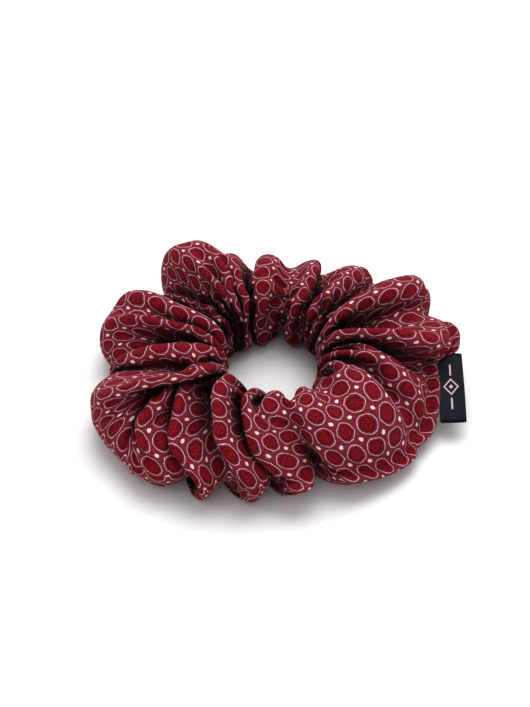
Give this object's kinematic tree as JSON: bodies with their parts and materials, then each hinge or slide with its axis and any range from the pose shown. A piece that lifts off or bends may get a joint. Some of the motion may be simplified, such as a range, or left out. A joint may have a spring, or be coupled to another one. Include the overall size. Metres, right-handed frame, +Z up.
{
  "type": "scrunchie",
  "caption": "Gathered cotton tube over a loop of flat elastic that holds a bunch of hair, with a small fold-over label sewn in its outer edge.",
  "frame": {"origin": "under the middle of the whole piece, on the surface it lies on", "axes": "+Z up out of the ring's plane, +X along the longest extent towards the label, +Y away from the viewer"},
  "size_m": [0.12, 0.0994, 0.0328],
  "materials": {
    "cotton_print": "matt printed plain weave",
    "sewing_thread": "matt twisted polyester",
    "woven_elastic": "matt ribbed",
    "elastic_thread": "matt twisted polyester",
    "label_ribbon": "satin ribbon"
  },
  "bodies": {
    "left_side": {"fabric_tube_left": "cotton_print", "long_seam_needle_thread_left": "sewing_thread", "long_seam_bobbin_thread_left": "sewing_thread", "elastic_band_back_end": "woven_elastic", "elastic_band_front_end": "woven_elastic", "elastic_zigzag_needle_thread": "elastic_thread", "elastic_zigzag_bobbin_thread": "elastic_thread"},
    "right_side": {"fabric_tube_right": "cotton_print", "long_seam_needle_thread_right": "sewing_thread", "long_seam_bobbin_thread_right": "sewing_thread", "closing_topstitch_needle_thread": "sewing_thread", "closing_topstitch_bobbin_thread": "sewing_thread", "end_seam_needle_thread": "sewing_thread", "end_seam_bobbin_thread": "sewing_thread", "elastic_band_right": "woven_elastic", "label_tail": "label_ribbon"},
    "label": {"label_flap": "label_ribbon"}
  },
  "joints": [
    {"name": "stretch", "type": "slide", "parent": "left_side", "child": "right_side", "axis": [1, 0, 0], "range_m": [0, 0.05], "stiffness_N_per_m": 80},
    {"name": "label_bend", "type": "hinge", "parent": "right_side", "child": "label", "pos_m": [0.0515, -0.008, 0.01], "axis": [0, -0.9511, -0.309], "range_deg": [-35, 70], "stiffness_Nm_per_rad": 0.0002}
  ]
}
